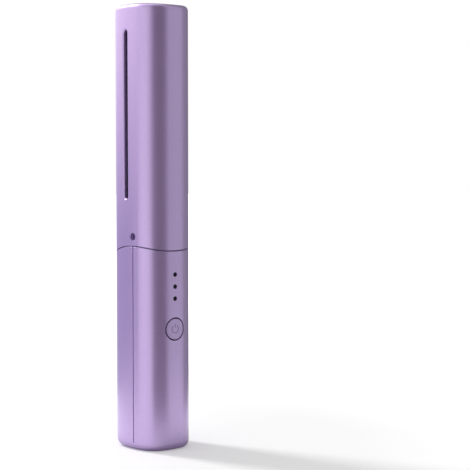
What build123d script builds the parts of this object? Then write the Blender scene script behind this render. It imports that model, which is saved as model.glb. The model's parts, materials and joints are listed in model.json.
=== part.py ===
# Cordless hot comb with a pull-off cap.
#
# Frame: millimetres, +Z up, origin on the standing base, in the middle of the body section.
# -Y is the button face, +Y is the side that the teeth point to, and the two shells meet in a
# seam plane that cuts both X sides.
from build123d import *
import os

os.makedirs("parts", exist_ok=True)

# ---------------------------------------------------------------- driving dimensions
TOTAL_HEIGHT = 200.0
HALF_THICKNESS = 14.3          # body section, across X
HALF_DEPTH = 16.8              # body section, along Y
SIDE_RADIUS = 35.8             # curvature of the two X sides
FACE_RADIUS = 34.5             # curvature of the button face and of the teeth side
CORNER_RADIUS = 11.8           # corners between them
SEAM_Y = -4.1                  # plane where the two shells meet
WALL = 2.0

BASE_ROUNDING = 3.0
BASE_FLAT_FRONT = -12.0        # the flat standing strip of the base runs from here
BASE_FLAT_BACK = 5.5           # to here
BASE_RISE_FRONT = 1.0          # how far the base climbs at the button face
BASE_RISE_BACK = 6.0           # and at the teeth side
FLOOR = 2.6                    # thickness of the base wall

RIM_RADIUS = 39.0              # the rim of the handle is a cylinder about X
RIM_APEX_Y = -4.3
RIM_APEX_Z = 91.9
RIM_GAP = 0.5                  # between the rim of the handle and the rim of the cap

COLLAR_INSET = 2.0             # collar outside, measured inwards from the body section
COLLAR_WALL = 1.8
SHOULDER_RADIUS = 60.0         # crown of the shoulder, a cylinder about X
SHOULDER_TOP = 101.2
SHOULDER_ROUNDING = 4.5
HANDLE_CAVITY_TOP = 83.5
COLLAR_CAVITY_TOP = 92.6

CAP_WALL = 1.7
CAP_TOP_WALL = 2.0
CAP_TOP_ROUNDING = 2.2
CAP_CROWN_RADIUS = 210.0
CAP_SLOT_WIDTH = 2.9
CAP_SLOT_BOTTOM = 113.2
CAP_SLOT_TOP = 188.5
CAP_SLOT_Y = 0.8
CAP_SLOT_CHAMFER = 0.5
LATCH_HOLE = 3.4               # the nubs of the collar show in these
LATCH_Z = 96.4
NUB_RADIUS = 3.2               # each nub is a low cap of a ball
NUB_PROUD = 0.2
KEY_WIDTH = 0.9                # rib inside the cap that runs in the keyway
KEY_TOP = 96.0
KEY_HEIGHT = 0.5
KEYWAY_WIDTH = 1.3             # in the collar, at the middle of the teeth side
KEYWAY_BOTTOM = 85.4
KEYWAY_DEPTH = 0.8

COMB_WIDE_HALF = 9.4           # half thickness of the comb where it is widest
COMB_WIDE_Y = -5.2
COMB_TIP_HALF = 3.5            # and at the tips of the teeth
COMB_TIP_Y = 13.8
COMB_BACK_Y = -12.2            # back of the spine
COMB_BACK_HALF = 7.6           # half width of the spine at its back, before rounding
COMB_TIP_ROUNDING = 2.2
COMB_BACK_ROUNDING = 3.6
COMB_PANEL = 1.4               # wall of the comb, measured across X
HEAD_TOP = 197.0
HEAD_APEX_Y = -2.6
HEAD_RADIUS = 28.0             # from the apex down to the tip of the head plate
HEAD_BACK_RADIUS = 14.0        # from the apex down to the spine
HEAD_DOME_HALF = 9.6           # seen from the front the head is half an ellipse, this wide
HEAD_DOME_DROP = 4.8           # and this high
HEAD_ROUNDING = 1.0
HEAD_BEVEL = 2.2               # wide bevel along the top of each side of the head plate
HEAD_BEVEL_DEPTH = 2.0
HEAD_BEVEL_ANGLE = 58
HEAD_BEVEL_TIP_Y = 10.8        # where the bevel turns down, before the tip

GAP_COUNT = 15
GAP_PITCH = 5.19
GAP_FIRST_Z = 114.6
GAP_ROOT_Y = -2.2
GAP_ROOT_HALF = 1.2            # half height of a gap at its root
GAP_TIP_HALF = 1.85            # and at the tips
TOOTH_NOSE = 0.6               # rounding of the ends of the teeth, seen from the side

NECK_Z = 104.0                 # the neck is a groove around the front of the comb: part of a ring
NECK_GROOVE = 5.4              # that is this thick
NECK_RING = 9.6                # this large
NECK_RING_Y = 3.0              # about here
NECK_RING_START = 20.5         # from this angle on both sides
NECK_END_SPARE = 0.04          # with round ends, a touch thicker than the ring

CORE_CLEARANCE = 0.3           # air between the core and the comb walls
CORE_TIP_Y = 10.8
CORE_BACK_Y = -5.2
CORE_ROOT_Y = -2.5
CORE_SPINE_HALF = 6.8
CORE_BOTTOM = 111.4
CORE_TOP = 190.2
CORE_EAR_HALF = 3.8
CORE_EAR_BOTTOM = 102.5
CORE_EAR_TOP = 194.0
EAR_POCKET_BACK = -7.6         # room for the upper screw head
CORE_SCREW_HEIGHTS = (106.3, 191.9)
CORE_SCREW_DEPTH = 7.0         # pilot holes, from the seam plane into the teeth side shell
CORE_LIP = 0.35                # the metal stands this far into each gap

HEATER_HALF = 3.4
HEATER_THICKNESS = 1.3
HEATER_BOTTOM = 122.0
HEATER_TOP = 178.0
INSULATOR_THICKNESS = 0.3
CLAMP_HALF = 6.6
CLAMP_THICKNESS = 0.8
CLAMP_SCREW_X = 5.4
CLAMP_SCREW_HEIGHTS = (128.0, 150.0, 172.0)
CLAMP_SCREW_DIAMETER = 1.4
CLAMP_SCREW_BITE = 2.0         # how deep these screws go into the core
CLAMP_SCREW_HEAD = (2.4, 0.8)
CORE_SCREW_DIAMETER = 2.0
CORE_SCREW_HEAD = (3.8, 1.3)    # diameter and height
CORE_SCREW_LENGTH = 8.2
BUSH_BORE_OUTSIDE = 3.2
BUSH_FLANGE = 4.6
BUSH_FLANGE_THICKNESS = 0.6
THERMISTOR_X = 4.9
THERMISTOR_Z = 116.6
FUSE_X = -3.7
FUSE_Y = -7.7
FUSE_BOTTOM = 100.0
FUSE_LENGTH = 9.0
HEATER_WIRE = 1.2
SENSOR_WIRE = 0.5
BATTERY_WIRE = 1.0
BATTERY_WIRE_X = -5.4
HEATER_WIRE_X = 2.2
CHIP_Z = 33.0                  # parts on the board: width, height and thickness of each
CHIP_SIZE = (5.0, 5.0, 0.9)
TRANSISTOR_X = 4.4
TRANSISTOR_Z = 24.0
TRANSISTOR_SIZE = (4.9, 5.8, 1.1)
INDUCTOR_Z = 14.5
INDUCTOR_SIZE = (5.2, 5.2, 2.6)
LED_SIZE = (1.6, 0.8, 0.6)
THERMISTOR_SIZE = (1.8, 3.6, 1.3)
FUSE_RADIUS = 1.2
WIRE_Y = -8.3                  # where the leads leave the back of the board

NECK_CHANNEL_HALF = 5.5        # wire channel through shoulder and neck, behind the seam
NECK_CHANNEL_BACK = -9.5

BUTTON_Z = 55.0
BUTTON_DIAMETER = 9.3
BUTTON_HOLE = 10.5
BUTTON_TRAVEL = 0.5
LENS_DIAMETER = 2.1
LENS_HEIGHTS = {"top": 79.5, "middle": 74.1, "bottom": 68.7}
SWITCH_HALF = 2.25
SWITCH_HEIGHT = 1.6
PLUNGER_DIAMETER = 2.0
STEM_DIAMETER = 3.0
PLUNGER_PROUD = 0.7
BUTTON_FLANGE_Y = -13.8
BUTTON_FLANGE = 11.4
BUTTON_FLANGE_THICKNESS = 0.8

BOARD_FRONT_Y = -10.2
BOARD_THICKNESS = 1.2
BOARD_HALF_WIDTH = 9.0
BOARD_BOTTOM = 3.0
BOARD_TOP = 83.0
BOARD_SCREW_DIAMETER = 1.6
BOARD_SCREW_HEAD = (3.0, 0.9)
BOARD_SCREW_LENGTH = 4.6
BOARD_SCREW_PLACES = [(-6.6, 17.0), (6.6, 17.0), (-6.6, 74.0), (6.6, 74.0)]

CELL_DIAMETER = 18.4
CELL_LENGTH = 65.0
CELL_Y = 4.2
CELL_BOTTOM = 13.0
CELL_GAP = 0.15                # between the cell and what holds it
CRADLE_HALF = 11.0
CRADLE_FRONT_Y = -7.0
CRADLE_BACK_Y = -1.0
CRADLE_BOTTOM = 13.6
CRADLE_TOP = 77.4
TAB_THICKNESS = 0.2
RIB_THICKNESS = 1.4
RIB_HEIGHTS = (9.2, 24.0, 45.5, 67.0, 81.4)
SEAM_GROOVE_WIDTH = 0.56       # fine groove along the visible seam
SEAM_GROOVE_DEPTH = 0.44
LIP_THICKNESS = 0.8            # tongue along the seam of the handle
LIP_LENGTH = 1.2
LIP_GAP = 0.1
LIP_BOTTOM = 7.0
LIP_TOP = 80.0

BUMPER_WIDTH = 10.0            # silicone pad between the cell and the shell
BUMPER_BOTTOM = 27.0
BUMPER_HEIGHT = 16.5
BUMPER_GAP = 0.03

PORT_WIDTH = 8.94
PORT_HEIGHT = 3.2
PORT_DEPTH = 7.3
PORT_RECESS = 0.5              # the mouth of the port stays above the standing plane

# ---------------------------------------------------------------- derived places
BOARD_BACK_Y = BOARD_FRONT_Y + BOARD_THICKNESS
PORT_Y = BOARD_BACK_Y + PORT_HEIGHT / 2
RIM_CENTRE_Z = RIM_APEX_Z - RIM_RADIUS
CELL_TOP = CELL_BOTTOM + CELL_LENGTH
GAP_LAST_Z = GAP_FIRST_Z + (GAP_COUNT - 1) * GAP_PITCH
COMB_SLOPE = (COMB_WIDE_HALF - COMB_TIP_HALF) / (COMB_TIP_Y - COMB_WIDE_Y)


def section_half(inset):
    """Half thickness of the body section at the seam, moved inwards by inset."""
    centre_x = HALF_THICKNESS - SIDE_RADIUS
    return centre_x + ((SIDE_RADIUS - inset)**2 - SEAM_Y**2)**0.5


def comb_half(y):
    """Half thickness of the comb at depth y, in front of the seam."""
    return COMB_TIP_HALF + COMB_SLOPE * (COMB_TIP_Y - y)


def corner_centre():
    """Centre of the section's corner arc, tangent inside the side arc and the face arc."""
    side = Vector(HALF_THICKNESS - SIDE_RADIUS, 0)
    face = Vector(0, HALF_DEPTH - FACE_RADIUS)
    reach_side = SIDE_RADIUS - CORNER_RADIUS
    reach_face = FACE_RADIUS - CORNER_RADIUS
    gap = face - side
    along = (reach_side**2 - reach_face**2 + gap.length**2) / (2 * gap.length)
    across = (reach_side**2 - along**2) ** 0.5
    unit = gap.normalized()
    return side + unit * along + Vector(-unit.Y, unit.X) * across


CORNER = corner_centre()


def is_slot_rim(place):
    """True at the outer edges of the slots and the latch holes of the cap."""
    outside = abs(place.X) > HALF_THICKNESS - 0.4
    in_slot = CAP_SLOT_BOTTOM - 1 < place.Z < CAP_SLOT_TOP + 1
    near_slot = in_slot and abs(place.Y - CAP_SLOT_Y) <= CAP_SLOT_WIDTH / 2 + 0.1
    near_hole = abs(place.Z - LATCH_Z) <= LATCH_HOLE / 2
    return outside and (near_slot or near_hole)


def is_head_rim(place):
    """True at the edges that the dome leaves along the sides of the head."""
    return place.Z > CORE_TOP - 4 and place.Y < COMB_TIP_Y - 1 and abs(place.X) > 1


def is_bottom_rim(edge):
    """True at the edges where the sides of the handle meet its base."""
    middle = edge.center()
    on_side = abs(middle.X) > HALF_THICKNESS / 2 or abs(middle.Y) > HALF_DEPTH - 2
    return middle.Z < BASE_RISE_BACK and on_side and edge.bounding_box().size.Z < BASE_RISE_BACK


def head_arch(depth_y, lowest, spare=0):
    """Front outline of the head above a height, lowered by spare, as a sketch at a depth."""
    middle = HEAD_TOP - HEAD_DOME_DROP - spare
    with BuildSketch(Plane.XZ.offset(-depth_y)) as arch:
        with Locations((0, middle)):
            Ellipse(HEAD_DOME_HALF, HEAD_DOME_DROP)
        with Locations((0, lowest)):
            Rectangle(2 * HEAD_DOME_HALF, middle - lowest, align=(Align.CENTER, Align.MIN))
            Rectangle(3 * HEAD_DOME_HALF, TOTAL_HEIGHT, align=(Align.CENTER, Align.MAX),
                      mode=Mode.SUBTRACT)
    return arch.sketch


def head_cutter(radius, way, lowest):
    """What lies outside the dome on one side of its apex; the dome turns about an axis along X."""
    axis_z = HEAD_TOP - radius
    with BuildPart() as cutter:
        with Locations((0, HEAD_APEX_Y, lowest)):
            Box(4 * HEAD_DOME_HALF, HALF_DEPTH + 6, HEAD_TOP + 4 - lowest,
                align=(Align.CENTER, Align.MIN if way > 0 else Align.MAX, Align.MIN))
        add(revolve(head_arch(HEAD_APEX_Y, axis_z), revolution_arc=-90 * way, mode=Mode.PRIVATE,
                    axis=Axis((0, HEAD_APEX_Y, axis_z), (1, 0, 0))), mode=Mode.SUBTRACT)
    return cutter.part


def body_section(inset, height):
    """The body section, moved inwards by inset, as a sketch at a height."""
    side_dir = (CORNER - Vector(HALF_THICKNESS - SIDE_RADIUS, 0)).normalized()
    face_dir = (CORNER - Vector(0, HALF_DEPTH - FACE_RADIUS)).normalized()
    radius = CORNER_RADIUS - inset
    side_join = CORNER + side_dir * radius
    face_join = CORNER + face_dir * radius
    middle = CORNER + (side_dir + face_dir).normalized() * radius
    with BuildSketch(Plane.XY.offset(height)) as section:
        with BuildLine():
            for way in (1, -1):
                ThreePointArc((way * side_join.X, -side_join.Y),
                              (way * (HALF_THICKNESS - inset), 0),
                              (way * side_join.X, side_join.Y))
                ThreePointArc((-face_join.X, way * face_join.Y),
                              (0, way * (HALF_DEPTH - inset)),
                              (face_join.X, way * face_join.Y))
                for across in (1, -1):
                    ThreePointArc((across * side_join.X, way * side_join.Y),
                                  (across * middle.X, way * middle.Y),
                                  (across * face_join.X, way * face_join.Y))
        make_face()
    return section.sketch


def below_base(raised):
    """What lies under the base, flat in the middle and climbing to both ends, raised by a height."""
    edge = HALF_DEPTH + 1
    with BuildPart() as under:
        with BuildSketch(Plane.YZ) as outline:
            with BuildLine():
                Line((BASE_FLAT_FRONT, raised), (BASE_FLAT_BACK, raised))
                TangentArc((BASE_FLAT_BACK, raised), (edge, raised + BASE_RISE_BACK), tangent=(1, 0))
                TangentArc((BASE_FLAT_FRONT, raised), (-edge, raised + BASE_RISE_FRONT), tangent=(-1, 0))
                Polyline((edge, raised + BASE_RISE_BACK), (edge, -1), (-edge, -1),
                         (-edge, raised + BASE_RISE_FRONT))
            make_face()
        extrude(amount=HALF_THICKNESS + 1, both=True)
    return under.part


# ---------------------------------------------------------------- construction solids
# Outside of the handle up to its curved rim.
with BuildPart() as handle_outside:
    extrude(body_section(0, 0), amount=RIM_APEX_Z + 2)
    add(below_base(0), mode=Mode.SUBTRACT)
    bottom_rim = handle_outside.edges().filter_by(is_bottom_rim)
    fillet(bottom_rim, BASE_ROUNDING)
    with BuildSketch(Plane.YZ) as above_rim:
        with Locations((0, RIM_APEX_Z)):
            Rectangle(60, 60)
        with Locations((RIM_APEX_Y, RIM_CENTRE_Z)):
            Circle(RIM_RADIUS, mode=Mode.SUBTRACT)
    extrude(above_rim.sketch, amount=HALF_THICKNESS + 1, both=True, mode=Mode.SUBTRACT)

# Outside of the collar and the shoulder above it.
with BuildPart() as collar_outside:
    extrude(body_section(COLLAR_INSET, HANDLE_CAVITY_TOP - 4), amount=30)
    with BuildSketch(Plane.YZ) as above_shoulder:
        with Locations((0, SHOULDER_TOP)):
            Rectangle(60, 60)
        with Locations((RIM_APEX_Y, SHOULDER_TOP - SHOULDER_RADIUS)):
            Circle(SHOULDER_RADIUS, mode=Mode.SUBTRACT)
    extrude(above_shoulder.sketch, amount=HALF_THICKNESS + 1, both=True, mode=Mode.SUBTRACT)
    fillet(collar_outside.faces().sort_by(Axis.Z)[-1].edges(), SHOULDER_ROUNDING)
    with BuildSketch(Plane.XY.offset(KEYWAY_BOTTOM)) as keyway:
        with Locations((0, HALF_DEPTH - COLLAR_INSET - KEYWAY_DEPTH)):
            Rectangle(KEYWAY_WIDTH, 2 * KEYWAY_DEPTH, align=(Align.CENTER, Align.MIN))
    extrude(amount=SHOULDER_TOP - KEYWAY_BOTTOM, mode=Mode.SUBTRACT)

# Outside of the comb: the wedge section, cut to the outlines of its side and its front.
with BuildPart() as comb_outside:
    with BuildSketch(Plane.XY.offset(SHOULDER_TOP - 8)) as wedge:
        with BuildLine():
            Polyline((COMB_TIP_HALF, COMB_TIP_Y), (COMB_WIDE_HALF, COMB_WIDE_Y),
                     (COMB_BACK_HALF, COMB_BACK_Y), (-COMB_BACK_HALF, COMB_BACK_Y),
                     (-COMB_WIDE_HALF, COMB_WIDE_Y), (-COMB_TIP_HALF, COMB_TIP_Y), close=True)
        make_face()
        fillet(wedge.vertices().group_by(Axis.Y)[-1], COMB_TIP_ROUNDING)
        fillet(wedge.vertices().group_by(Axis.Y)[0], COMB_BACK_ROUNDING)
        fillet(wedge.vertices().filter_by(lambda corner: corner.Y == COMB_WIDE_Y), 1.2)
    extrude(amount=HEAD_TOP - SHOULDER_TOP + 10)
    # below the guard tooth the front stands back, inside the groove of the neck
    with BuildSketch(Plane.YZ) as under_guard:
        groove_middle = NECK_RING_Y + NECK_RING
        with BuildLine():
            Polyline((groove_middle, NECK_Z), (COMB_TIP_Y + 1, NECK_Z),
                     (COMB_TIP_Y + 1, SHOULDER_TOP - 9), (groove_middle - 3, SHOULDER_TOP - 9),
                     (groove_middle - 3, NECK_Z), close=True)
        make_face()
    extrude(under_guard.sketch, amount=HALF_THICKNESS, both=True, mode=Mode.SUBTRACT)
    add(head_cutter(HEAD_RADIUS, 1, CORE_TOP - 5), mode=Mode.SUBTRACT)
    add(head_cutter(HEAD_BACK_RADIUS, -1, HEAD_TOP - HEAD_BACK_RADIUS + 1), mode=Mode.SUBTRACT)
    head_rims = comb_outside.edges().filter_by(lambda edge: is_head_rim(edge.center()))
    fillet(head_rims, HEAD_ROUNDING)
    # bevel on both sides of the head plate: what a slab on the side holds outside a tapered block
    side_plane = Plane((COMB_TIP_HALF, COMB_TIP_Y, 0), x_dir=(-COMB_SLOPE, 1, 0), z_dir=(1, COMB_SLOPE, 0))
    with BuildPart(mode=Mode.PRIVATE) as bevel:
        with BuildSketch(side_plane) as slab:
            with Locations((0, GAP_LAST_Z)):
                Rectangle(4 * HALF_DEPTH, HEAD_TOP, align=(Align.CENTER, Align.MIN))
        extrude(amount=-HEAD_BEVEL_DEPTH)
        with BuildSketch(side_plane) as inner:
            with Locations((HEAD_APEX_Y - COMB_TIP_Y, HEAD_TOP - HEAD_RADIUS)):
                Circle(HEAD_RADIUS - HEAD_BEVEL)
            with Locations((HEAD_BEVEL_TIP_Y - COMB_TIP_Y, HEAD_TOP)):
                Rectangle(4 * HALF_DEPTH, HEAD_TOP, align=(Align.MAX, Align.CENTER),
                          mode=Mode.INTERSECT)
            fillet(inner.vertices().sort_by(Axis.Y)[-1], 2.0)
        extrude(inner.sketch, amount=-HEAD_BEVEL_DEPTH, taper=-HEAD_BEVEL_ANGLE, mode=Mode.SUBTRACT)
    add(bevel.part, mode=Mode.SUBTRACT)
    add(mirror(bevel.part, about=Plane.YZ, mode=Mode.PRIVATE), mode=Mode.SUBTRACT)

# Groove around the front of the neck, under the guard tooth.
with BuildPart() as neck_groove:
    with Locations((0, NECK_RING_Y, NECK_Z)):
        Torus(NECK_RING, NECK_GROOVE, major_angle=180 - 2 * NECK_RING_START,
              rotation=(0, 0, NECK_RING_START), align=None)
        with PolarLocations(NECK_RING, 2, start_angle=NECK_RING_START,
                            angular_range=180 - 2 * NECK_RING_START, endpoint=True):
            Sphere(NECK_GROOVE + NECK_END_SPARE)

# The gaps between the teeth, right through both sides; each widens towards the tips.
def gap_profile(root_y, root_half, tip_half):
    """Outline of one gap at height 0: round at its root, wider past the round tooth ends."""
    with BuildSketch(Plane.YZ) as profile:
        with BuildLine():
            start = root_y + root_half
            nose = COMB_TIP_Y - TOOTH_NOSE
            wide = tip_half + TOOTH_NOSE
            end = COMB_TIP_Y + 1
            ThreePointArc((start, -root_half), (root_y, 0), (start, root_half))
            for way in (1, -1):
                Line((start, way * root_half), (nose, way * tip_half))
                RadiusArc((nose, way * tip_half), (COMB_TIP_Y, way * wide), -way * TOOTH_NOSE)
                Line((COMB_TIP_Y, way * wide), (end, way * wide))
            Line((end, wide), (end, -wide))
        make_face()
    return profile.sketch


GAP_PLACES = [(0, 0, GAP_FIRST_Z + step * GAP_PITCH) for step in range(GAP_COUNT)]

with BuildPart() as comb_gaps:
    with Locations(*GAP_PLACES):
        add(extrude(gap_profile(GAP_ROOT_Y, GAP_ROOT_HALF, GAP_TIP_HALF),
                    amount=COMB_WIDE_HALF + 1, both=True, mode=Mode.PRIVATE))

with BuildPart() as core_gaps:
    with Locations(*GAP_PLACES):
        add(extrude(gap_profile(CORE_ROOT_Y, GAP_ROOT_HALF - CORE_LIP, GAP_TIP_HALF - CORE_LIP),
                    amount=COMB_WIDE_HALF + 1, both=True, mode=Mode.PRIVATE))

# Space inside the two shells: handle, collar, wire channel, heater pocket and screw ears.
with BuildPart() as inside:
    extrude(body_section(WALL, FLOOR), amount=HANDLE_CAVITY_TOP - FLOOR)
    add(below_base(FLOOR), mode=Mode.SUBTRACT)
    extrude(body_section(COLLAR_INSET + COLLAR_WALL, HANDLE_CAVITY_TOP - 1),
            amount=COLLAR_CAVITY_TOP - HANDLE_CAVITY_TOP + 1)
    with BuildSketch(Plane.XY.offset(COLLAR_CAVITY_TOP - 1)) as channel:
        with Locations((0, NECK_CHANNEL_BACK)):
            Rectangle(2 * NECK_CHANNEL_HALF, GAP_ROOT_Y - NECK_CHANNEL_BACK,
                      align=(Align.CENTER, Align.MIN))
    extrude(amount=CORE_TOP + CORE_CLEARANCE - COLLAR_CAVITY_TOP + 1)
    with BuildSketch(Plane.XY.offset(CORE_TOP - 1)) as ear_pocket:
        with Locations((0, EAR_POCKET_BACK)):
            Rectangle(2 * (CORE_EAR_HALF + CORE_CLEARANCE), GAP_ROOT_Y - EAR_POCKET_BACK,
                      align=(Align.CENTER, Align.MIN))
    extrude(amount=CORE_EAR_TOP + CORE_CLEARANCE - CORE_TOP + 1)
    with BuildSketch(Plane.XY.offset(CORE_BOTTOM - CORE_CLEARANCE)) as pocket:
        with BuildLine():
            front = CORE_TIP_Y + CORE_CLEARANCE
            front_half = comb_half(front) - COMB_PANEL
            wide_half = COMB_WIDE_HALF - COMB_PANEL - 0.1
            back_half = COMB_BACK_HALF - COMB_BACK_ROUNDING / 2
            back = COMB_BACK_Y + COMB_PANEL + 0.1
            Polyline((front_half, front), (wide_half, COMB_WIDE_Y), (back_half, back),
                     (-back_half, back), (-wide_half, COMB_WIDE_Y), (-front_half, front),
                     close=True)
        make_face()
    extrude(amount=CORE_TOP - CORE_BOTTOM + 2 * CORE_CLEARANCE)

SEAM = Plane((0, SEAM_Y, 0), x_dir=(1, 0, 0), z_dir=(0, 1, 0))

# Fine groove that shows where the shells meet, around the outline that the seam plane cuts.
with BuildPart() as seam_groove:
    handle_half = section_half(0) - SEAM_GROOVE_DEPTH
    collar_half = section_half(COLLAR_INSET) - SEAM_GROOVE_DEPTH
    neck_half = comb_half(SEAM_Y) - SEAM_GROOVE_DEPTH
    with BuildSketch(Plane.XZ.offset(-SEAM_Y)) as around_body:
        with Locations((0, BASE_ROUNDING)):
            Rectangle(3 * HALF_THICKNESS, TOTAL_HEIGHT, align=(Align.CENTER, Align.MIN))
        groove_rim = RIM_APEX_Z - SEAM_GROOVE_DEPTH
        groove_top = SHOULDER_TOP - SEAM_GROOVE_DEPTH
        round_x = collar_half - SHOULDER_ROUNDING
        round_z = groove_top - SHOULDER_ROUNDING
        with BuildLine():
            for way in (1, -1):
                Polyline((way * handle_half, 0), (way * handle_half, groove_rim),
                         (way * collar_half, groove_rim), (way * collar_half, round_z))
                RadiusArc((way * collar_half, round_z), (way * round_x, groove_top),
                          -way * SHOULDER_ROUNDING)
                Polyline((way * round_x, groove_top), (way * neck_half, groove_top),
                         (way * neck_half, SHOULDER_TOP + 1))
            Line((-neck_half, SHOULDER_TOP + 1), (neck_half, SHOULDER_TOP + 1))
            Line((-handle_half, 0), (handle_half, 0))
        make_face(mode=Mode.SUBTRACT)
        with BuildSketch(mode=Mode.PRIVATE) as comb_arch:
            with Locations((0, HEAD_TOP)):
                Rectangle(2 * neck_half, HEAD_TOP - SHOULDER_TOP, align=(Align.CENTER, Align.MAX))
            add(head_arch(SEAM_Y, SHOULDER_TOP, SEAM_GROOVE_DEPTH + 0.15), mode=Mode.INTERSECT)
        add(comb_arch.sketch, mode=Mode.SUBTRACT)
    extrude(amount=SEAM_GROOVE_WIDTH / 2, both=True)

# ---------------------------------------------------------------- the two body shells
with BuildPart() as body_solid:
    add(handle_outside.part)
    add(collar_outside.part)
    add(comb_outside.part)
    nub_x = section_half(COLLAR_INSET) + NUB_PROUD - NUB_RADIUS
    with Locations((nub_x, SEAM_Y, LATCH_Z), (-nub_x, SEAM_Y, LATCH_Z)):
        Sphere(NUB_RADIUS)
    add(neck_groove.part, mode=Mode.SUBTRACT)
    add(inside.part, mode=Mode.SUBTRACT)
    add(comb_gaps.part, mode=Mode.SUBTRACT)
    add(seam_groove.part, mode=Mode.SUBTRACT)


# Tongue that closes the seam of the handle from inside, on both X sides.
def seam_tongue(spare):
    """Two strips inside the handle walls, grown by spare on every side."""
    with BuildPart() as strips:
        extrude(body_section(WALL - LIP_THICKNESS - spare, LIP_BOTTOM - spare),
                amount=LIP_TOP - LIP_BOTTOM + 2 * spare)
        extrude(body_section(WALL, LIP_BOTTOM - spare),
                amount=LIP_TOP - LIP_BOTTOM + 2 * spare, mode=Mode.SUBTRACT)
        with Locations((0, SEAM_Y, LIP_BOTTOM - spare)):
            Box(2 * HALF_THICKNESS, LIP_LENGTH + spare, LIP_TOP - LIP_BOTTOM + 2 * spare,
                align=(Align.CENTER, Align.MIN, Align.MIN), mode=Mode.INTERSECT)
    return strips.part


with BuildPart() as button_side_shell:
    add(body_solid.part)
    split(bisect_by=SEAM, keep=Keep.BOTTOM)
    add(seam_tongue(0))
    # holes of the power button and of the three lenses
    with BuildSketch(Plane.XZ.offset(HALF_DEPTH - WALL - 1)) as button_hole:
        with Locations((0, BUTTON_Z)):
            Circle(BUTTON_HOLE / 2)
        with Locations(*[(0, height) for height in LENS_HEIGHTS.values()]):
            Circle(LENS_DIAMETER / 2)
    extrude(amount=WALL + 2, mode=Mode.SUBTRACT)
    # mouth of the charging port, through the base
    with BuildSketch(Plane.XY.offset(-1)) as port_mouth:
        with Locations((0, PORT_Y)):
            RectangleRounded(PORT_WIDTH, PORT_HEIGHT, PORT_HEIGHT / 2 - 0.05)
    extrude(amount=FLOOR + 2, mode=Mode.SUBTRACT)

with BuildPart() as teeth_side_shell:
    add(body_solid.part)
    split(bisect_by=SEAM, keep=Keep.TOP)
    add(seam_tongue(LIP_GAP), mode=Mode.SUBTRACT)
    # ribs that carry the cell, and the two end stops
    for height in RIB_HEIGHTS:
        end_stop = height in (RIB_HEIGHTS[0], RIB_HEIGHTS[-1])
        with BuildSketch(Plane.XY.offset(height)) as rib:
            add(body_section(WALL - 0.2, height))
            with Locations((0, CRADLE_BACK_Y)):
                Rectangle(60, 60, align=(Align.CENTER, Align.MAX), mode=Mode.SUBTRACT)
            if not end_stop:
                with Locations((0, CELL_Y)):
                    Circle(CELL_DIAMETER / 2 + CELL_GAP, mode=Mode.SUBTRACT)
        extrude(amount=RIB_THICKNESS)
    # pilot holes of the two screws of the core
    with BuildSketch(SEAM) as pilots:
        with Locations(*[(0, -height) for height in CORE_SCREW_HEIGHTS]):
            Circle(1.0)
    extrude(amount=CORE_SCREW_DEPTH, mode=Mode.SUBTRACT)

# ---------------------------------------------------------------- the cap
with BuildPart() as cap_shell:
    extrude(body_section(0, RIM_APEX_Z - 10), amount=TOTAL_HEIGHT - RIM_APEX_Z + 10)
    with BuildSketch(Plane.YZ) as above_crown:
        with Locations((0, TOTAL_HEIGHT)):
            Rectangle(60, 20)
        with Locations((0, TOTAL_HEIGHT - CAP_CROWN_RADIUS)):
            Circle(CAP_CROWN_RADIUS, mode=Mode.SUBTRACT)
    extrude(above_crown.sketch, amount=HALF_THICKNESS + 1, both=True, mode=Mode.SUBTRACT)
    fillet(cap_shell.faces().sort_by(Axis.Z)[-1].edges(), CAP_TOP_ROUNDING)
    extrude(body_section(CAP_WALL, RIM_APEX_Z - 11),
            amount=TOTAL_HEIGHT - CAP_TOP_WALL - RIM_APEX_Z + 11, mode=Mode.SUBTRACT)
    with Locations((0, HALF_DEPTH - CAP_WALL + 0.2, RIM_APEX_Z - 10)):
        Box(KEY_WIDTH, KEY_HEIGHT + 0.2, KEY_TOP - RIM_APEX_Z + 10,
            align=(Align.CENTER, Align.MAX, Align.MIN))
    with Locations((0, RIM_APEX_Y, RIM_CENTRE_Z)):
        Cylinder(RIM_RADIUS + RIM_GAP, 60, rotation=(0, 90, 0), mode=Mode.SUBTRACT)
    with BuildSketch(Plane.YZ.offset(HALF_THICKNESS - CAP_WALL - 1)) as side_holes:
        with Locations((CAP_SLOT_Y, (CAP_SLOT_BOTTOM + CAP_SLOT_TOP) / 2)):
            SlotOverall(CAP_SLOT_TOP - CAP_SLOT_BOTTOM, CAP_SLOT_WIDTH, rotation=90)
        with Locations((SEAM_Y, LATCH_Z)):
            Circle(LATCH_HOLE / 2)
    right_holes = extrude(amount=CAP_WALL + 2, mode=Mode.PRIVATE)
    add(right_holes, mode=Mode.SUBTRACT)
    add(mirror(right_holes, about=Plane.YZ, mode=Mode.PRIVATE), mode=Mode.SUBTRACT)
    slot_rims = cap_shell.edges().filter_by(lambda edge: is_slot_rim(edge.center()))
    chamfer(slot_rims, CAP_SLOT_CHAMFER)

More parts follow.
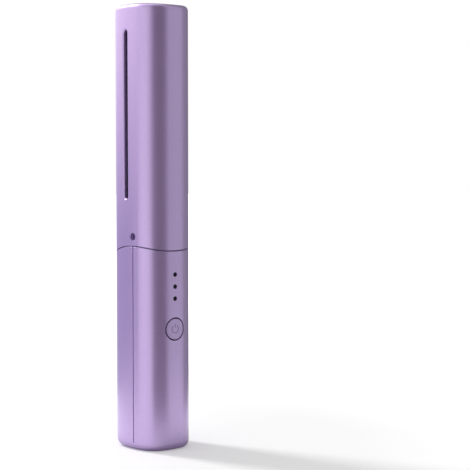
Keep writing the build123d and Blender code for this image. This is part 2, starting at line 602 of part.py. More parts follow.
# ---------------------------------------------------------------- heated comb and its heater
with BuildPart() as heater_core:
    with BuildSketch(Plane.XY.offset(CORE_BOTTOM)) as core_section:
        with BuildLine():
            tip_half = comb_half(CORE_TIP_Y) - COMB_PANEL - CORE_CLEARANCE
            root_half = comb_half(CORE_ROOT_Y) - COMB_PANEL - CORE_CLEARANCE
            Polyline((tip_half, CORE_TIP_Y), (root_half, CORE_ROOT_Y),
                     (CORE_SPINE_HALF, CORE_ROOT_Y), (CORE_SPINE_HALF, CORE_BACK_Y),
                     (-CORE_SPINE_HALF, CORE_BACK_Y), (-CORE_SPINE_HALF, CORE_ROOT_Y),
                     (-root_half, CORE_ROOT_Y), (-tip_half, CORE_TIP_Y), close=True)
        make_face()
        fillet(core_section.vertices().group_by(Axis.Y)[-1], 1.2)
    extrude(amount=CORE_TOP - CORE_BOTTOM)
    add(core_gaps.part, mode=Mode.SUBTRACT)
    ear_depth = CORE_ROOT_Y - CORE_BACK_Y
    with BuildSketch(Plane.XZ.offset(-CORE_ROOT_Y)) as ears:
        with Locations((0, (CORE_EAR_BOTTOM + CORE_EAR_TOP) / 2)):
            Rectangle(2 * CORE_EAR_HALF, CORE_EAR_TOP - CORE_EAR_BOTTOM)
        with Locations(*[(0, height) for height in CORE_SCREW_HEIGHTS]):
            Circle(BUSH_BORE_OUTSIDE / 2, mode=Mode.SUBTRACT)
    extrude(amount=ear_depth)
    with BuildSketch(Plane.XZ.offset(-CORE_BACK_Y)) as threads:
        with Locations(*[(way * CLAMP_SCREW_X, height) for way in (-1, 1)
                         for height in CLAMP_SCREW_HEIGHTS]):
            Circle(CLAMP_SCREW_DIAMETER / 2)
    extrude(amount=-CLAMP_SCREW_BITE, mode=Mode.SUBTRACT)

with BuildPart() as core_bushes:
    with BuildSketch(Plane.XZ.offset(-CORE_BACK_Y)) as flanges:
        with Locations(*[(0, height) for height in CORE_SCREW_HEIGHTS]):
            Circle(BUSH_FLANGE / 2)
            Circle(CORE_SCREW_DIAMETER / 2, mode=Mode.SUBTRACT)
    extrude(amount=BUSH_FLANGE_THICKNESS)
    with BuildSketch(Plane.XZ.offset(-CORE_BACK_Y)) as sleeves:
        with Locations(*[(0, height) for height in CORE_SCREW_HEIGHTS]):
            Circle(BUSH_BORE_OUTSIDE / 2)
            Circle(CORE_SCREW_DIAMETER / 2, mode=Mode.SUBTRACT)
    extrude(amount=CORE_BACK_Y - GAP_ROOT_Y)


def pan_screw(centre_x, head_y, height, diameter, head, head_height, length):
    """A pan-head screw along +Y: the head stands behind head_y, the shank in front of it."""
    with BuildPart() as screw:
        with BuildSketch(Plane.XZ.offset(-head_y)) as top:
            with Locations((centre_x, height)):
                Circle(head / 2)
        extrude(amount=head_height)
        fillet(screw.faces().sort_by(Axis.Y)[0].edges(), head_height * 0.4)
        with BuildSketch(Plane.XZ.offset(-head_y)) as shank:
            with Locations((centre_x, height)):
                Circle(diameter / 2)
        extrude(amount=-length)
        with BuildSketch(Plane.XZ.offset(head_height - head_y)) as recess:
            with Locations((centre_x, height)):
                Rectangle(head * 0.55, head * 0.14)
                Rectangle(head * 0.14, head * 0.55)
        extrude(amount=-head_height * 0.5, mode=Mode.SUBTRACT)
    return screw.part


with BuildPart() as core_screws:
    for height in CORE_SCREW_HEIGHTS:
        add(pan_screw(0, CORE_BACK_Y - BUSH_FLANGE_THICKNESS, height, CORE_SCREW_DIAMETER,
                      *CORE_SCREW_HEAD, CORE_SCREW_LENGTH))

with BuildPart() as ptc_heater:
    with BuildSketch(Plane.XZ.offset(-CORE_BACK_Y)) as heater_face:
        with Locations((0, (HEATER_BOTTOM + HEATER_TOP) / 2)):
            Rectangle(2 * HEATER_HALF, HEATER_TOP - HEATER_BOTTOM)
    extrude(amount=HEATER_THICKNESS)
    chamfer(ptc_heater.edges().filter_by(Axis.Z), 0.3)

INSULATOR_Y = CORE_BACK_Y - HEATER_THICKNESS
with BuildPart() as heater_insulator:
    with BuildSketch(Plane.XZ.offset(-INSULATOR_Y)) as sheet:
        with Locations((0, (HEATER_BOTTOM + HEATER_TOP) / 2)):
            RectangleRounded(2 * HEATER_HALF + 1.6, HEATER_TOP - HEATER_BOTTOM + 4, 0.8)
    extrude(amount=INSULATOR_THICKNESS)

CLAMP_Y = INSULATOR_Y - INSULATOR_THICKNESS
with BuildPart() as heater_clamp:
    with BuildSketch(Plane.XZ.offset(-CLAMP_Y)) as plate:
        with Locations((0, (HEATER_BOTTOM + HEATER_TOP) / 2)):
            RectangleRounded(2 * CLAMP_HALF, HEATER_TOP - HEATER_BOTTOM + 6, 1.5)
        with Locations(*[(way * CLAMP_SCREW_X, height) for way in (-1, 1)
                         for height in CLAMP_SCREW_HEIGHTS]):
            Circle(CLAMP_SCREW_DIAMETER / 2, mode=Mode.SUBTRACT)
    extrude(amount=CLAMP_THICKNESS)
    with BuildSketch(Plane.XZ.offset(CLAMP_THICKNESS - CLAMP_Y)) as bead:
        with Locations((0, (HEATER_BOTTOM + HEATER_TOP) / 2)):
            SlotOverall(HEATER_TOP - HEATER_BOTTOM - 8, 3.0, rotation=90)
    extrude(amount=0.6, taper=30)

with BuildPart() as clamp_screws:
    for way in (-1, 1):
        for height in CLAMP_SCREW_HEIGHTS:
            add(pan_screw(way * CLAMP_SCREW_X, CLAMP_Y - CLAMP_THICKNESS, height,
                          CLAMP_SCREW_DIAMETER, *CLAMP_SCREW_HEAD,
                          CORE_BACK_Y - CLAMP_Y + CLAMP_THICKNESS + CLAMP_SCREW_BITE))

with BuildPart() as thermistor:
    with BuildSketch(Plane.XZ.offset(-CORE_BACK_Y)) as glass:
        with Locations((THERMISTOR_X, THERMISTOR_Z)):
            RectangleRounded(*THERMISTOR_SIZE[:2], 0.8)
    extrude(amount=THERMISTOR_SIZE[2])

with BuildPart() as thermal_fuse:
    with BuildSketch(Plane.XY.offset(FUSE_BOTTOM)) as barrel:
        with Locations((FUSE_X, FUSE_Y)):
            Circle(FUSE_RADIUS)
    extrude(amount=FUSE_LENGTH)
    fillet(thermal_fuse.edges().filter_by(GeomType.CIRCLE), 0.3)

# ---------------------------------------------------------------- board and what is on it
with BuildPart() as circuit_board:
    with BuildSketch(Plane.XZ.offset(-BOARD_BACK_Y)) as board:
        with Locations((0, (BOARD_BOTTOM + BOARD_TOP) / 2)):
            RectangleRounded(2 * BOARD_HALF_WIDTH, BOARD_TOP - BOARD_BOTTOM, 1.2)
        with Locations(*BOARD_SCREW_PLACES):
            Circle(BOARD_SCREW_DIAMETER / 2, mode=Mode.SUBTRACT)
    extrude(amount=BOARD_THICKNESS)


def board_block(centre_x, height, width, tall, thick, rounding=0.2):
    """A block that stands on the front of the board."""
    with BuildPart() as block:
        with BuildSketch(Plane.XZ.offset(-BOARD_FRONT_Y)) as foot:
            with Locations((centre_x, height)):
                Rectangle(width, tall)
        extrude(amount=thick)
        chamfer(block.faces().sort_by(Axis.Y)[0].edges(), rounding)
    return block.part


with BuildPart() as control_chip:
    add(board_block(0, CHIP_Z, *CHIP_SIZE))

with BuildPart() as power_transistors:
    for way in (-1, 1):
        add(board_block(way * TRANSISTOR_X, TRANSISTOR_Z, *TRANSISTOR_SIZE))

with BuildPart() as charge_inductor:
    add(board_block(0, INDUCTOR_Z, *INDUCTOR_SIZE, 0.6))

with BuildPart() as indicator_leds:
    for height in LENS_HEIGHTS.values():
        add(board_block(0, height, *LED_SIZE, 0.1))

with BuildPart() as switch_body:
    add(board_block(0, BUTTON_Z, 2 * SWITCH_HALF, 2 * SWITCH_HALF, SWITCH_HEIGHT, 0.3))
    with BuildSketch(Plane.XZ.offset(SWITCH_HEIGHT - BOARD_FRONT_Y)) as well:
        with Locations((0, BUTTON_Z)):
            Circle(PLUNGER_DIAMETER / 2 + 0.25)
    extrude(amount=-1.15, mode=Mode.SUBTRACT)

SWITCH_FACE_Y = BOARD_FRONT_Y - SWITCH_HEIGHT
with BuildPart() as switch_plunger:
    with BuildSketch(Plane.XZ.offset(PLUNGER_PROUD - SWITCH_FACE_Y)) as pin:
        with Locations((0, BUTTON_Z)):
            Circle(PLUNGER_DIAMETER / 2)
    extrude(amount=-(PLUNGER_PROUD + 0.35))

with BuildPart() as power_button:
    with BuildSketch(Plane.XZ.offset(-BUTTON_FLANGE_Y)) as disc:
        with Locations((0, BUTTON_Z)):
            Circle(BUTTON_DIAMETER / 2)
    extrude(amount=HALF_DEPTH)
    add(body_section(0, BUTTON_Z - BUTTON_DIAMETER))
    extrude(amount=2 * BUTTON_DIAMETER, mode=Mode.INTERSECT)

# Flange that keeps the button in its hole, and the stem that reaches the switch.
with BuildPart() as button_carrier:
    with BuildSketch(Plane.XZ.offset(-BUTTON_FLANGE_Y)) as flange:
        with Locations((0, BUTTON_Z)):
            Circle(BUTTON_FLANGE / 2)
    extrude(amount=-BUTTON_FLANGE_THICKNESS)
    with BuildSketch(Plane.XZ.offset(-BUTTON_FLANGE_Y)) as stem:
        with Locations((0, BUTTON_Z)):
            Circle(STEM_DIAMETER / 2)
    extrude(amount=-(SWITCH_FACE_Y - PLUNGER_PROUD - BUTTON_FLANGE_Y))

lenses = {}
for place, height in LENS_HEIGHTS.items():
    with BuildPart() as lens:
        with BuildSketch(Plane.XZ.offset(HALF_DEPTH - WALL - 0.8)) as window:
            with Locations((0, height)):
                Circle(LENS_DIAMETER / 2)
        extrude(amount=WALL + 2)
        with BuildSketch(Plane.XY.offset(height - LENS_DIAMETER)):
            add(body_section(0.05, height - LENS_DIAMETER))
        extrude(amount=2 * LENS_DIAMETER, mode=Mode.INTERSECT)
        with BuildSketch(Plane.XZ.offset(HALF_DEPTH - WALL - 0.1)) as collar:
            with Locations((0, height)):
                Circle(LENS_DIAMETER / 2 + 0.5)
        extrude(amount=-0.7)
        with BuildSketch(Plane.XZ.offset(HALF_DEPTH - WALL - 0.8)) as guide:
            with Locations((0, height)):
                Circle(LENS_DIAMETER / 2 - 0.2)
        extrude(amount=-(HALF_DEPTH - WALL - 0.8 + BOARD_FRONT_Y - 0.7))
    lenses[place] = lens

with BuildPart() as usb_c_port:
    with BuildSketch(Plane.XY.offset(PORT_RECESS)) as shell:
        with Locations((0, PORT_Y)):
            RectangleRounded(PORT_WIDTH, PORT_HEIGHT, PORT_HEIGHT / 2 - 0.05)
    extrude(amount=PORT_DEPTH)
    with BuildSketch(Plane.XY.offset(PORT_RECESS)) as mouth:
        with Locations((0, PORT_Y)):
            RectangleRounded(PORT_WIDTH - 0.6, PORT_HEIGHT - 0.6, PORT_HEIGHT / 2 - 0.35)
    extrude(amount=PORT_DEPTH - 0.8, mode=Mode.SUBTRACT)
    with BuildSketch(Plane.XY.offset(PORT_RECESS + 1.0)) as tongue:
        with Locations((0, PORT_Y)):
            Rectangle(6.7, 0.7)
    extrude(amount=PORT_DEPTH - 1.4)

with BuildPart() as board_screws:
    for centre_x, height in BOARD_SCREW_PLACES:
        add(pan_screw(centre_x, BOARD_FRONT_Y, height, BOARD_SCREW_DIAMETER, *BOARD_SCREW_HEAD,
                      BOARD_SCREW_LENGTH))

# ---------------------------------------------------------------- battery
with BuildPart() as battery_cell:
    with Locations((0, CELL_Y, CELL_BOTTOM)):
        Cylinder(CELL_DIAMETER / 2, CELL_LENGTH,
                 align=(Align.CENTER, Align.CENTER, Align.MIN))
    fillet(battery_cell.edges().filter_by(GeomType.CIRCLE), 0.5)

with BuildPart() as battery_cradle:
    with Locations((0, CRADLE_FRONT_Y, CRADLE_BOTTOM)):
        Box(2 * CRADLE_HALF, CRADLE_BACK_Y - CRADLE_FRONT_Y, CRADLE_TOP - CRADLE_BOTTOM,
            align=(Align.CENTER, Align.MIN, Align.MIN))
    chamfer(battery_cradle.edges().filter_by(Axis.Z).group_by(Axis.Y)[0], 1.0)
    with Locations((0, CELL_Y, CRADLE_BOTTOM)):
        Cylinder(CELL_DIAMETER / 2 + CELL_GAP, CRADLE_TOP - CRADLE_BOTTOM,
                 align=(Align.CENTER, Align.CENTER, Align.MIN), mode=Mode.SUBTRACT)
    with BuildSketch(Plane.XZ.offset(-BOARD_BACK_Y)) as posts:
        with Locations(*BOARD_SCREW_PLACES):
            Circle(2.2)
    extrude(amount=-(CRADLE_FRONT_Y - BOARD_BACK_Y))
    with BuildSketch(Plane.XZ.offset(-BOARD_BACK_Y)) as holes:
        with Locations(*BOARD_SCREW_PLACES):
            Circle(BOARD_SCREW_DIAMETER / 2)
    extrude(amount=-4.0, mode=Mode.SUBTRACT)

with BuildPart() as battery_tabs:
    for height in (CELL_BOTTOM - TAB_THICKNESS, CELL_TOP):
        with BuildSketch(Plane.XY.offset(height)) as strip:
            with Locations((-2.5, CELL_Y)):
                RectangleRounded(9.0, 5.0, 0.6)
        extrude(amount=TAB_THICKNESS)

with BuildPart() as battery_bumper:
    with BuildSketch(Plane.XY.offset(BUMPER_BOTTOM)) as pad:
        with Locations((0, CELL_Y)):
            Rectangle(BUMPER_WIDTH, HALF_DEPTH, align=(Align.CENTER, Align.MIN))
        add(body_section(WALL, BUMPER_BOTTOM), mode=Mode.INTERSECT)
        with Locations((0, CELL_Y)):
            Circle(CELL_DIAMETER / 2 + BUMPER_GAP, mode=Mode.SUBTRACT)
    extrude(amount=BUMPER_HEIGHT)


# ---------------------------------------------------------------- wires
def wire(points, radii, diameter):
    """An insulated wire along straight runs joined by tangent arcs."""
    with BuildPart() as lead:
        with BuildLine() as route:
            FilletPolyline(*points, radius=radii)
        with BuildSketch(Plane(route.line @ 0, z_dir=route.line % 0)) as ring:
            Circle(diameter / 2)
        sweep(path=route.line)
    return lead.part


HEATER_WIRE_Y = CORE_BACK_Y - HEATER_THICKNESS / 2
FUSE_TOP = FUSE_BOTTOM + FUSE_LENGTH
with BuildPart() as heater_leads:
    add(wire([(FUSE_X, WIRE_Y, 78.6), (FUSE_X, WIRE_Y, 88.0), (FUSE_X, FUSE_Y, 94.0),
              (FUSE_X, FUSE_Y, FUSE_BOTTOM)], 12.0, HEATER_WIRE))
    add(wire([(FUSE_X, FUSE_Y, FUSE_TOP), (FUSE_X, FUSE_Y, 112.0),
              (-HEATER_WIRE_X, HEATER_WIRE_Y, 116.5),
              (-HEATER_WIRE_X, HEATER_WIRE_Y, HEATER_BOTTOM)], 3.0, HEATER_WIRE))
    add(wire([(-FUSE_X, WIRE_Y, 78.6), (-FUSE_X, WIRE_Y, 88.0), (-FUSE_X, FUSE_Y, 94.0),
              (-FUSE_X, FUSE_Y, 111.0), (HEATER_WIRE_X, HEATER_WIRE_Y, 116.5),
              (HEATER_WIRE_X, HEATER_WIRE_Y, HEATER_BOTTOM)], 3.0, HEATER_WIRE))

with BuildPart() as sensor_leads:
    for centre_x in (THERMISTOR_X - 0.3, THERMISTOR_X + 0.3):
        add(wire([(centre_x, WIRE_Y - 0.3, 79.5), (centre_x, WIRE_Y - 0.3, 93.0),
                  (centre_x, -6.1, 104.0), (centre_x, HEATER_WIRE_Y, THERMISTOR_Z - 1.8)],
                 10.0, SENSOR_WIRE))

with BuildPart() as battery_leads:
    lower_z = CELL_BOTTOM - TAB_THICKNESS - BATTERY_WIRE / 2
    upper_z = CELL_TOP + TAB_THICKNESS + BATTERY_WIRE / 2
    for wire_z, pad_z in ((lower_z, 8.9), (upper_z, 82.0)):
        add(wire([(BATTERY_WIRE_X, 2.0, wire_z), (BATTERY_WIRE_X, -6.9, wire_z),
                  (BATTERY_WIRE_X, WIRE_Y - 0.15, pad_z)], 1.5, BATTERY_WIRE))

# ---------------------------------------------------------------- one file for each node
pieces = {
    "button_side_shell": button_side_shell,
    "teeth_side_shell": teeth_side_shell,
    "cap_shell": cap_shell,
    "heater_core": heater_core,
    "core_bushes": core_bushes,
    "core_screws": core_screws,
    "ptc_heater": ptc_heater,
    "heater_insulator": heater_insulator,
    "heater_clamp": heater_clamp,
    "clamp_screws": clamp_screws,
    "thermistor": thermistor,
    "thermal_fuse": thermal_fuse,
    "circuit_board": circuit_board,
    "control_chip": control_chip,
    "power_transistors": power_transistors,
    "charge_inductor": charge_inductor,
    "indicator_leds": indicator_leds,
    "indicator_lens_top": lenses["top"],
    "indicator_lens_middle": lenses["middle"],
    "indicator_lens_bottom": lenses["bottom"],
    "switch_body": switch_body,
    "switch_plunger": switch_plunger,
    "power_button": power_button,
    "button_carrier": button_carrier,
    "usb_c_port": usb_c_port,
    "board_screws": board_screws,
    "battery_cell": battery_cell,
    "battery_cradle": battery_cradle,
    "battery_tabs": battery_tabs,
    "battery_bumper": battery_bumper,
    "heater_leads": heater_leads,
    "sensor_leads": sensor_leads,
    "battery_leads": battery_leads,
}
for name, piece in pieces.items():
    piece.part.label = name
    export_step(piece.part, f"parts/{name}.step")
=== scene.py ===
"""Cordless hot comb, standing with its cap on: finishes, small trim, studio and camera.

Everything is in metres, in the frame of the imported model: +Z up, -Y out of the power button,
+Y the way the teeth point, origin on the standing base.
"""
import json
import math

import bpy
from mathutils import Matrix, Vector


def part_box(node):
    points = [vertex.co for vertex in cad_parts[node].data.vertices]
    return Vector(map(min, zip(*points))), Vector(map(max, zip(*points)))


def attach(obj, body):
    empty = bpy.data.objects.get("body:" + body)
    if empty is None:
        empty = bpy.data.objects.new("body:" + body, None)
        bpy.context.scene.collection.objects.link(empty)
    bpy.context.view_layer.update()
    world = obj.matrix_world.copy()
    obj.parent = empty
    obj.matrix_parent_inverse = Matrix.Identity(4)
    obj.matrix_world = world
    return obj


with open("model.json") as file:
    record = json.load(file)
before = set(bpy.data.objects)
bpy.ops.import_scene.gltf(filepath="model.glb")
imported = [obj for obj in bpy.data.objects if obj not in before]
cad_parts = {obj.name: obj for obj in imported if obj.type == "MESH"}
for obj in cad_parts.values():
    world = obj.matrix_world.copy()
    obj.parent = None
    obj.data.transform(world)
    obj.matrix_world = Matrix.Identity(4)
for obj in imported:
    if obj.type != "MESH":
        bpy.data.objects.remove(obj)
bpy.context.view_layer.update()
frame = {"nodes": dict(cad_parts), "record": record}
nodes = frame["nodes"]

MM = 0.001


# ---------------------------------------------------------------- helpers for node trees
def srgb(red, green, blue):
    """A colour given as 0 to 255 screen values, as the linear colour that a socket takes."""
    def linear(value):
        part = value / 255
        return part / 12.92 if part <= 0.04045 else ((part + 0.055) / 1.055) ** 2.4
    return (linear(red), linear(green), linear(blue), 1.0)


def new_group(name, inputs, outputs):
    """A shader node group; inputs are (name, socket kind, value), outputs are (name, socket kind)."""
    group = bpy.data.node_groups.new(name, "ShaderNodeTree")
    for label, kind, value in inputs:
        socket = group.interface.new_socket(label, in_out="INPUT", socket_type=kind)
        if value is not None:
            socket.default_value = value
    for label, kind in outputs:
        group.interface.new_socket(label, in_out="OUTPUT", socket_type=kind)
    return group, group.nodes.new("NodeGroupInput"), group.nodes.new("NodeGroupOutput")


def add_node(tree, kind, settings=None, **values):
    """A node with its settings, and with plain values for the sockets that are named."""
    node = tree.nodes.new(kind)
    for key, value in (settings or {}).items():
        setattr(node, key, value)
    for key, value in values.items():
        node.inputs[key.replace("_", " ")].default_value = value
    return node


def noise_node(tree, vector, scale, detail=2.0, roughness=0.5):
    """Noise over a vector; scale may be a number or a socket."""
    node = add_node(tree, "ShaderNodeTexNoise", Detail=detail, Roughness=roughness)
    tree.links.new(vector, node.inputs["Vector"])
    if isinstance(scale, float):
        node.inputs["Scale"].default_value = scale
    else:
        tree.links.new(scale, node.inputs["Scale"])
    return node


def between(tree, factor, low, high):
    """Factor 0 to 1 turned into low to high; each end may be a number or a socket."""
    node = add_node(tree, "ShaderNodeMapRange")
    tree.links.new(factor, node.inputs["Value"])
    for label, end in (("To Min", low), ("To Max", high)):
        if isinstance(end, (int, float)):
            node.inputs[label].default_value = end
        else:
            tree.links.new(end, node.inputs[label])
    return node.outputs["Result"]


def blend_colours(tree, factor, first, second):
    """Two colours mixed by a factor; each may be a value or a socket."""
    node = add_node(tree, "ShaderNodeMix", {"data_type": "RGBA"})
    ends = (("Factor", factor), ("A", first), ("B", second))
    for label, end in ends:
        sockets = [s for s in node.inputs if s.name == label]
        socket = sockets[0] if label == "Factor" else [s for s in sockets if s.type == "RGBA"][0]
        if isinstance(end, bpy.types.NodeSocket):
            tree.links.new(end, socket)
        else:
            socket.default_value = end
    return [s for s in node.outputs if s.type == "RGBA"][0]


# ---------------------------------------------------------------- shared effects
def make_grain_group():
    """Fine moulded or sprayed grain: a height, and a mask that varies slowly over the surface."""
    group, given, out = new_group(
        "fine_grain",
        [("Vector", "NodeSocketVector", None), ("Grain Scale", "NodeSocketFloat", 5000.0),
         ("Cloud Scale", "NodeSocketFloat", 60.0)],
        [("Height", "NodeSocketFloat"), ("Cloud", "NodeSocketFloat")])
    grain = noise_node(group, given.outputs["Vector"], given.outputs["Grain Scale"], 3.0, 0.6)
    cloud = noise_node(group, given.outputs["Vector"], given.outputs["Cloud Scale"], 2.0, 0.5)
    group.links.new(grain.outputs["Fac"], out.inputs["Height"])
    group.links.new(cloud.outputs["Fac"], out.inputs["Cloud"])
    return group


def make_flake_group():
    """Pearl flakes: each small cell takes its own lightness around a base colour."""
    group, given, out = new_group(
        "pearl_flakes",
        [("Vector", "NodeSocketVector", None), ("Scale", "NodeSocketFloat", 3500.0),
         ("Base", "NodeSocketColor", (0.5, 0.4, 0.6, 1)), ("Glint", "NodeSocketColor", (0.6, 0.5, 0.7, 1))],
        [("Color", "NodeSocketColor")])
    cells = add_node(group, "ShaderNodeTexVoronoi")
    group.links.new(given.outputs["Vector"], cells.inputs["Vector"])
    group.links.new(given.outputs["Scale"], cells.inputs["Scale"])
    own = add_node(group, "ShaderNodeSeparateColor")
    group.links.new(cells.outputs["Color"], own.inputs["Color"])
    colour = blend_colours(group, own.outputs["Red"], given.outputs["Base"], given.outputs["Glint"])
    group.links.new(colour, out.inputs["Color"])
    return group


def make_streak_group():
    """Brushed or rolled streaks, long along one axis of the vector given."""
    group, given, out = new_group(
        "metal_streaks",
        [("Vector", "NodeSocketVector", None), ("Stretch", "NodeSocketVector", (400.0, 400.0, 8000.0)),
         ("Low", "NodeSocketFloat", 0.25), ("High", "NodeSocketFloat", 0.45)],
        [("Roughness", "NodeSocketFloat"), ("Height", "NodeSocketFloat")])
    stretched = add_node(group, "ShaderNodeVectorMath", {"operation": "MULTIPLY"})
    group.links.new(given.outputs["Vector"], stretched.inputs[0])
    group.links.new(given.outputs["Stretch"], stretched.inputs[1])
    streaks = noise_node(group, stretched.outputs["Vector"], 1.0, 4.0, 0.6)
    rough = between(group, streaks.outputs["Fac"], given.outputs["Low"], given.outputs["High"])
    group.links.new(rough, out.inputs["Roughness"])
    group.links.new(streaks.outputs["Fac"], out.inputs["Height"])
    return group


GRAIN = make_grain_group()
FLAKES = make_flake_group()
STREAKS = make_streak_group()


class Finish:
    """A material with one Principled shader, Object coordinates and an optional rounded edge."""

    def __init__(self, name, **constants):
        self.material = bpy.data.materials.new(name)
        self.material.use_nodes = True
        self.tree = self.material.node_tree
        self.shader = self.tree.nodes["Principled BSDF"]
        for key, value in constants.items():
            self.shader.inputs[key.replace("_", " ")].default_value = value
        self.place = add_node(self.tree, "ShaderNodeTexCoord").outputs["Object"]

    def use(self, group, **values):
        """An effect group placed on the object coordinates, with this finish's own values."""
        node = self.tree.nodes.new("ShaderNodeGroup")
        node.node_tree = group
        self.tree.links.new(self.place, node.inputs["Vector"])
        for key, value in values.items():
            node.inputs[key.replace("_", " ")].default_value = value
        return node

    def colour(self, source):
        self._into("Base Color", source)

    def roughness(self, source):
        self._into("Roughness", source)

    def metallic(self, source):
        self._into("Metallic", source)

    def _into(self, label, source):
        if isinstance(source, bpy.types.NodeSocket):
            self.tree.links.new(source, self.shader.inputs[label])
        else:
            self.shader.inputs[label].default_value = source

    def bump(self, height, depth, edge=0.0):
        """Relief from a height; edge is the radius to which sharp edges are shaded round."""
        relief = add_node(self.tree, "ShaderNodeBump", Strength=1.0, Distance=depth)
        self.tree.links.new(height, relief.inputs["Height"])
        if edge:
            rounded = add_node(self.tree, "ShaderNodeBevel", {"samples": 4}, Radius=edge)
            self.tree.links.new(rounded.outputs["Normal"], relief.inputs["Normal"])
        self.tree.links.new(relief.outputs["Normal"], self.shader.inputs["Normal"])


# ---------------------------------------------------------------- finishes
def pearl_paint(name, base, glint, edge=0.25 * MM):
    """Satin pearl lavender: flakes under a soft coat, with a faint spray texture."""
    paint = Finish(name, Metallic=0.62, Coat_Weight=0.25, Coat_Roughness=0.28)
    flakes = paint.use(FLAKES, Scale=7000.0, Base=base, Glint=glint)
    grain = paint.use(GRAIN, Grain_Scale=5000.0, Cloud_Scale=45.0)
    paint.colour(flakes.outputs["Color"])
    paint.roughness(between(paint.tree, grain.outputs["Cloud"], 0.33, 0.41))
    paint.bump(grain.outputs["Height"], 0.0015 * MM, edge)
    return paint.material


def black_ceramic():
    """Black ceramic coat on the heated metal."""
    coat = Finish("black_ceramic", Specular_IOR_Level=0.4)
    grain = coat.use(GRAIN, Grain_Scale=1500.0, Cloud_Scale=80.0)
    coat.colour(blend_colours(coat.tree, grain.outputs["Cloud"], srgb(16, 14, 18), srgb(24, 22, 27)))
    coat.roughness(between(coat.tree, grain.outputs["Cloud"], 0.32, 0.46))
    coat.bump(grain.outputs["Height"], 0.003 * MM, 0.2 * MM)
    return coat.material


def moulded_plastic(name, first, second, rough_low, rough_high, grain_scale=2500.0):
    """Moulded plastic with a fine spark-eroded grain and slight changes of tone."""
    plastic = Finish(name)
    grain = plastic.use(GRAIN, Grain_Scale=grain_scale, Cloud_Scale=120.0)
    plastic.colour(blend_colours(plastic.tree, grain.outputs["Cloud"], first, second))
    plastic.roughness(between(plastic.tree, grain.outputs["Height"], rough_low, rough_high))
    plastic.bump(grain.outputs["Height"], 0.008 * MM)
    return plastic.material


STREAK_SHADE = 0.86           # what the dark of a streak keeps of the metal's colour


def bare_metal(name, colour, low, high, stretch=(300.0, 300.0, 6000.0)):
    """Metal with fine streaks in its roughness and relief."""
    metal = Finish(name, Metallic=1.0)
    streaks = metal.use(STREAKS, Stretch=stretch, Low=low, High=high)
    darker = (*(part * STREAK_SHADE for part in colour[:3]), 1.0)
    metal.colour(blend_colours(metal.tree, streaks.outputs["Height"], darker, colour))
    metal.roughness(streaks.outputs["Roughness"])
    metal.bump(streaks.outputs["Height"], 0.004 * MM)
    return metal.material


def smoked_lens():
    """Dark smoked lens that hides the unlit indicator behind it."""
    lens = Finish("smoked_lens", Specular_IOR_Level=0.12)
    grain = lens.use(GRAIN, Grain_Scale=900.0, Cloud_Scale=700.0)
    lens.colour(blend_colours(lens.tree, grain.outputs["Cloud"], srgb(20, 13, 27), srgb(30, 22, 38)))
    lens.roughness(between(lens.tree, grain.outputs["Cloud"], 0.2, 0.3))
    return lens.material


def circuit_mask():
    """Green solder mask with tracks that show through as slightly lighter lines."""
    board = Finish("circuit_mask")
    tracks = add_node(board.tree, "ShaderNodeTexBrick", Scale=260.0, Mortar_Size=0.012, Brick_Width=1.7,
                      Row_Height=0.42, Mortar=srgb(46, 124, 76), Color1=srgb(18, 74, 44),
                      Color2=srgb(22, 84, 50))
    turned = add_node(board.tree, "ShaderNodeMapping", Rotation=(math.radians(90), 0, 0))
    board.tree.links.new(board.place, turned.inputs["Vector"])
    board.tree.links.new(turned.outputs["Vector"], tracks.inputs["Vector"])
    board.colour(tracks.outputs["Color"])
    grain = board.use(GRAIN, Grain_Scale=4000.0, Cloud_Scale=90.0)
    board.roughness(between(board.tree, grain.outputs["Cloud"], 0.22, 0.4))
    board.bump(tracks.outputs["Fac"], 0.02 * MM)
    return board.material


END_FACING = 0.95             # how upright a normal is on the ends of the cell


def cell_sleeve():
    """Shrink sleeve on the round of the cell, bare metal on its two ends."""
    cell = Finish("cell_sleeve")
    facing = add_node(cell.tree, "ShaderNodeNewGeometry")
    split = add_node(cell.tree, "ShaderNodeSeparateXYZ")
    cell.tree.links.new(facing.outputs["Normal"], split.inputs["Vector"])
    upright = add_node(cell.tree, "ShaderNodeMath", {"operation": "ABSOLUTE"})
    cell.tree.links.new(split.outputs["Z"], upright.inputs[0])
    is_end = add_node(cell.tree, "ShaderNodeMath", {"operation": "GREATER_THAN"})
    is_end.inputs[1].default_value = END_FACING
    cell.tree.links.new(upright.outputs["Value"], is_end.inputs[0])
    grain = cell.use(GRAIN, Grain_Scale=1200.0, Cloud_Scale=70.0)
    sleeve = blend_colours(cell.tree, grain.outputs["Cloud"], srgb(34, 92, 138), srgb(44, 110, 160))
    cell.colour(blend_colours(cell.tree, is_end.outputs["Value"], sleeve, srgb(196, 196, 190)))
    cell.metallic(is_end.outputs["Value"])
    cell.roughness(between(cell.tree, grain.outputs["Height"], 0.24, 0.38))
    cell.bump(grain.outputs["Height"], 0.02 * MM)
    return cell.material


LAVENDER = srgb(178, 155, 203)
LAVENDER_GLINT = srgb(190, 168, 213)

